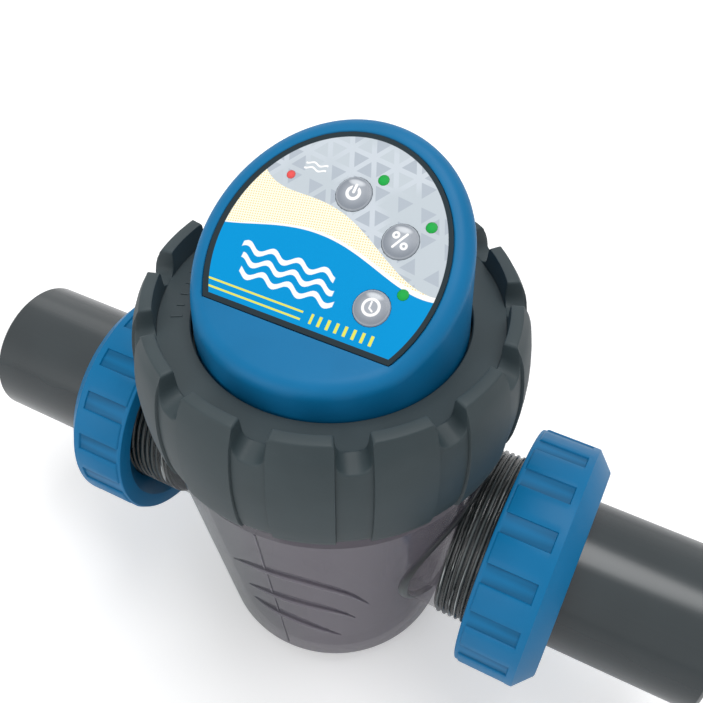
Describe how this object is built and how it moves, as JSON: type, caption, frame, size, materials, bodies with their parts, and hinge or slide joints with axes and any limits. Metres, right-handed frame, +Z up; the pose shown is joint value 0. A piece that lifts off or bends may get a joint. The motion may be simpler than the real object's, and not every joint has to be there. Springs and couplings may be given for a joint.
{
  "type": "salt chlorine generator",
  "caption": "Inline salt chlorine generator: clear cell housing with pipe unions, dark notched lock ring and a blue control head with keypad over an electrode pack.",
  "frame": {"origin": "centre of the bounding box at the bottom, which is the middle of the foot under the housing", "axes": "+X along the pipe line towards the right union, +Z up along the ring and head axis, -Y towards the front, where the keypad slopes down"},
  "size_m": [0.34, 0.1497, 0.2456],
  "materials": {
    "blue_plastic": "satin moulded",
    "dark_plastic": "fine moulded texture",
    "pipe_grey": "extruded satin",
    "clear_smoke": "smoky clear plastic",
    "keypad_print": "printed film",
    "key_grey": "domed gloss",
    "seal_rubber": "matte",
    "green_lens": "clear tinted",
    "red_lens": "clear tinted",
    "board_green": "solder mask",
    "black_plastic": "moulded",
    "titanium": "coated titanium",
    "steel": "plain",
    "lead_red": "sleeve",
    "lead_black": "sleeve"
  },
  "bodies": {
    "housing": {"cell_housing": "clear_smoke", "left_tailpiece": "pipe_grey", "right_tailpiece": "pipe_grey", "left_union_seal": "seal_rubber", "right_union_seal": "seal_rubber"},
    "lock_ring": {"lock_ring": "dark_plastic"},
    "left_nut": {"left_union_nut": "blue_plastic"},
    "right_nut": {"right_union_nut": "blue_plastic"},
    "power_button": {"power_button": "key_grey"},
    "output_button": {"output_button": "key_grey"},
    "timer_button": {"timer_button": "key_grey"},
    "head": {"board_screw_1": "steel", "board_screw_2": "steel", "board_screw_3": "steel", "board_screw_4": "steel", "cable_gland": "black_plastic", "cap_seal": "seal_rubber", "cell_cap": "dark_plastic", "circuit_board": "board_green", "electrode_plate_1": "titanium", "electrode_plate_2": "titanium", "electrode_plate_3": "titanium", "electrode_plate_4": "titanium", "electrode_plate_5": "titanium", "electrode_plate_6": "titanium", "electrode_plate_7": "titanium", "gland_lock_nut": "black_plastic", "gland_nut": "black_plastic", "gland_seal": "seal_rubber", "green_lens_1": "green_lens", "green_lens_2": "green_lens", "green_lens_3": "green_lens", "head_screw_1": "steel", "head_screw_2": "steel", "head_screw_3": "steel", "head_screw_4": "steel", "head_seal": "seal_rubber", "head_shell": "blue_plastic", "keypad_panel": "keypad_print", "left_lead": "lead_black", "left_post": "titanium", "left_post_nut": "steel", "output_switch": "black_plastic", "plate_comb": "black_plastic", "plate_holder": "black_plastic", "power_module": "black_plastic", "power_switch": "black_plastic", "red_lens": "red_lens", "right_lead": "lead_red", "right_post": "titanium", "right_post_nut": "steel", "timer_switch": "black_plastic", "water_sensor": "steel"}
  },
  "joints": [
    {"name": "head_lift", "type": "slide", "parent": "housing", "child": "head", "axis": [0, 0, 1], "range_m": [0, 0.15]},
    {"name": "ring_turn", "type": "hinge", "parent": "head", "child": "lock_ring", "pos_m": [0, 0, 0.168], "axis": [0, 0, 1], "continuous": true},
    {"name": "left_nut_turn", "type": "hinge", "parent": "housing", "child": "left_nut", "pos_m": [-0.08, 0, 0.088], "axis": [-1, 0, 0], "continuous": true},
    {"name": "right_nut_turn", "type": "hinge", "parent": "housing", "child": "right_nut", "pos_m": [0.08, 0, 0.088], "axis": [1, 0, 0], "continuous": true},
    {"name": "power_press", "type": "slide", "parent": "head", "child": "power_button", "axis": [0, 0.4795, -0.8776], "range_m": [0, 0.0006], "stiffness_N_per_m": 800, "springref_m": -0.0004},
    {"name": "output_press", "type": "slide", "parent": "head", "child": "output_button", "axis": [0, 0.4795, -0.8776], "range_m": [0, 0.0006], "stiffness_N_per_m": 800, "springref_m": -0.0004},
    {"name": "timer_press", "type": "slide", "parent": "head", "child": "timer_button", "axis": [0, 0.4795, -0.8776], "range_m": [0, 0.0006], "stiffness_N_per_m": 800, "springref_m": -0.0004}
  ]
}
